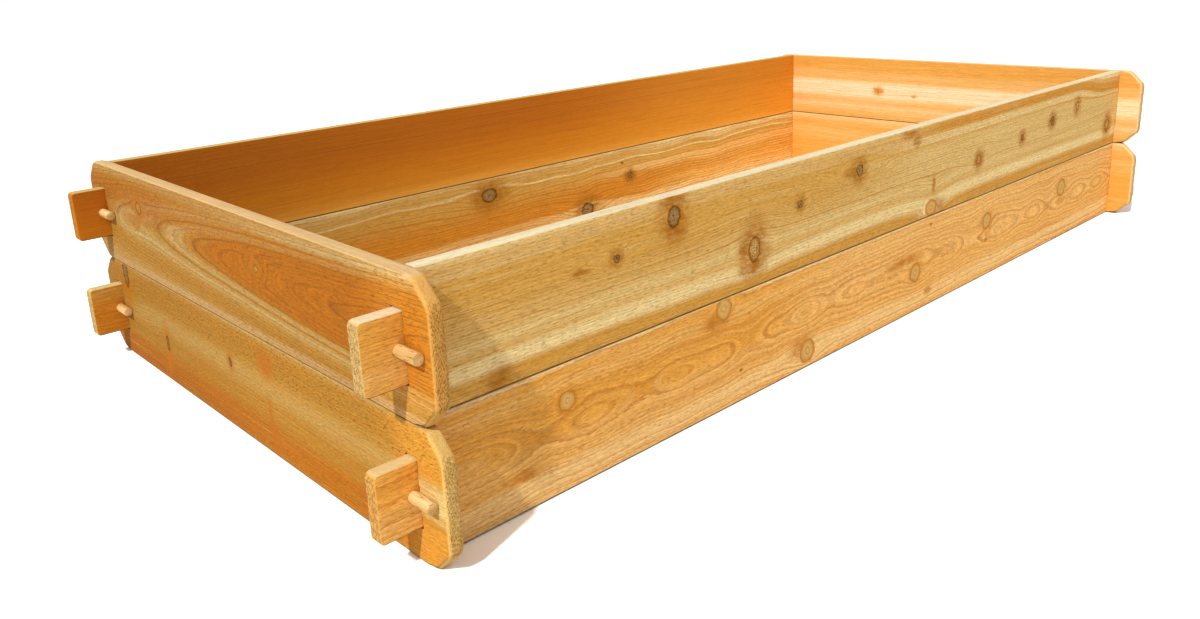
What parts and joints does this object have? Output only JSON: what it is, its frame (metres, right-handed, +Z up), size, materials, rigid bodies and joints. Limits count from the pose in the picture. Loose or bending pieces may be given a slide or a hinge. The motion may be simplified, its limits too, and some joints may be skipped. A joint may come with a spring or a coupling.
{
  "type": "raised garden bed",
  "caption": "Two-tier rectangular raised garden bed of cedar boards, with pegged through tenons at the corners and an upper tier that lifts off.",
  "frame": {"origin": "on the ground under the middle of the bed (centre of the bounding box's bottom face)", "axes": "+X along the long side boards, +Y from the front side board to the back one, +Z up"},
  "size_m": [1.8288, 0.9144, 0.2983],
  "materials": {
    "front_lower": "cedar heartwood, amber, few knots, planed face",
    "front_upper": "cedar with pale sapwood streaks and knots, planed face",
    "back_lower": "cedar, orange-brown with knots, planed face",
    "back_upper": "cedar heartwood, dark orange-brown straight grain, planed face",
    "ends_lower": "cedar, honey, rough-sawn face",
    "ends_upper": "cedar, orange cathedral grain, sawn face",
    "peg_wood": "pale pinkish-tan dowel, smooth"
  },
  "bodies": {
    "lower_tier": {"lower_front_side_board": "front_lower", "lower_back_side_board": "back_lower", "lower_left_end_board": "ends_lower", "lower_right_end_board": "ends_lower"},
    "upper_tier": {"upper_front_side_board": "front_upper", "upper_back_side_board": "back_upper", "upper_left_end_board": "ends_upper", "upper_right_end_board": "ends_upper"},
    "lower_front_left_peg": {"lower_front_left_peg": "peg_wood"},
    "lower_front_right_peg": {"lower_front_right_peg": "peg_wood"},
    "lower_back_left_peg": {"lower_back_left_peg": "peg_wood"},
    "lower_back_right_peg": {"lower_back_right_peg": "peg_wood"},
    "upper_front_left_peg": {"upper_front_left_peg": "peg_wood"},
    "upper_front_right_peg": {"upper_front_right_peg": "peg_wood"},
    "upper_back_left_peg": {"upper_back_left_peg": "peg_wood"},
    "upper_back_right_peg": {"upper_back_right_peg": "peg_wood"}
  },
  "joints": [
    {"name": "upper_tier_lift", "type": "slide", "parent": "lower_tier", "child": "upper_tier", "axis": [0, 0, 1], "range_m": [0, 0.15]},
    {"name": "lower_front_left_peg_slide", "type": "slide", "parent": "lower_tier", "child": "lower_front_left_peg", "axis": [0, -1, 0], "range_m": [0, 0.052]},
    {"name": "lower_front_right_peg_slide", "type": "slide", "parent": "lower_tier", "child": "lower_front_right_peg", "axis": [0, -1, 0], "range_m": [0, 0.052]},
    {"name": "lower_back_left_peg_slide", "type": "slide", "parent": "lower_tier", "child": "lower_back_left_peg", "axis": [0, 1, 0], "range_m": [0, 0.052]},
    {"name": "lower_back_right_peg_slide", "type": "slide", "parent": "lower_tier", "child": "lower_back_right_peg", "axis": [0, 1, 0], "range_m": [0, 0.052]},
    {"name": "upper_front_left_peg_slide", "type": "slide", "parent": "upper_tier", "child": "upper_front_left_peg", "axis": [0, -1, 0], "range_m": [0, 0.052]},
    {"name": "upper_front_right_peg_slide", "type": "slide", "parent": "upper_tier", "child": "upper_front_right_peg", "axis": [0, -1, 0], "range_m": [0, 0.052]},
    {"name": "upper_back_left_peg_slide", "type": "slide", "parent": "upper_tier", "child": "upper_back_left_peg", "axis": [0, 1, 0], "range_m": [0, 0.052]},
    {"name": "upper_back_right_peg_slide", "type": "slide", "parent": "upper_tier", "child": "upper_back_right_peg", "axis": [0, 1, 0], "range_m": [0, 0.052]}
  ]
}
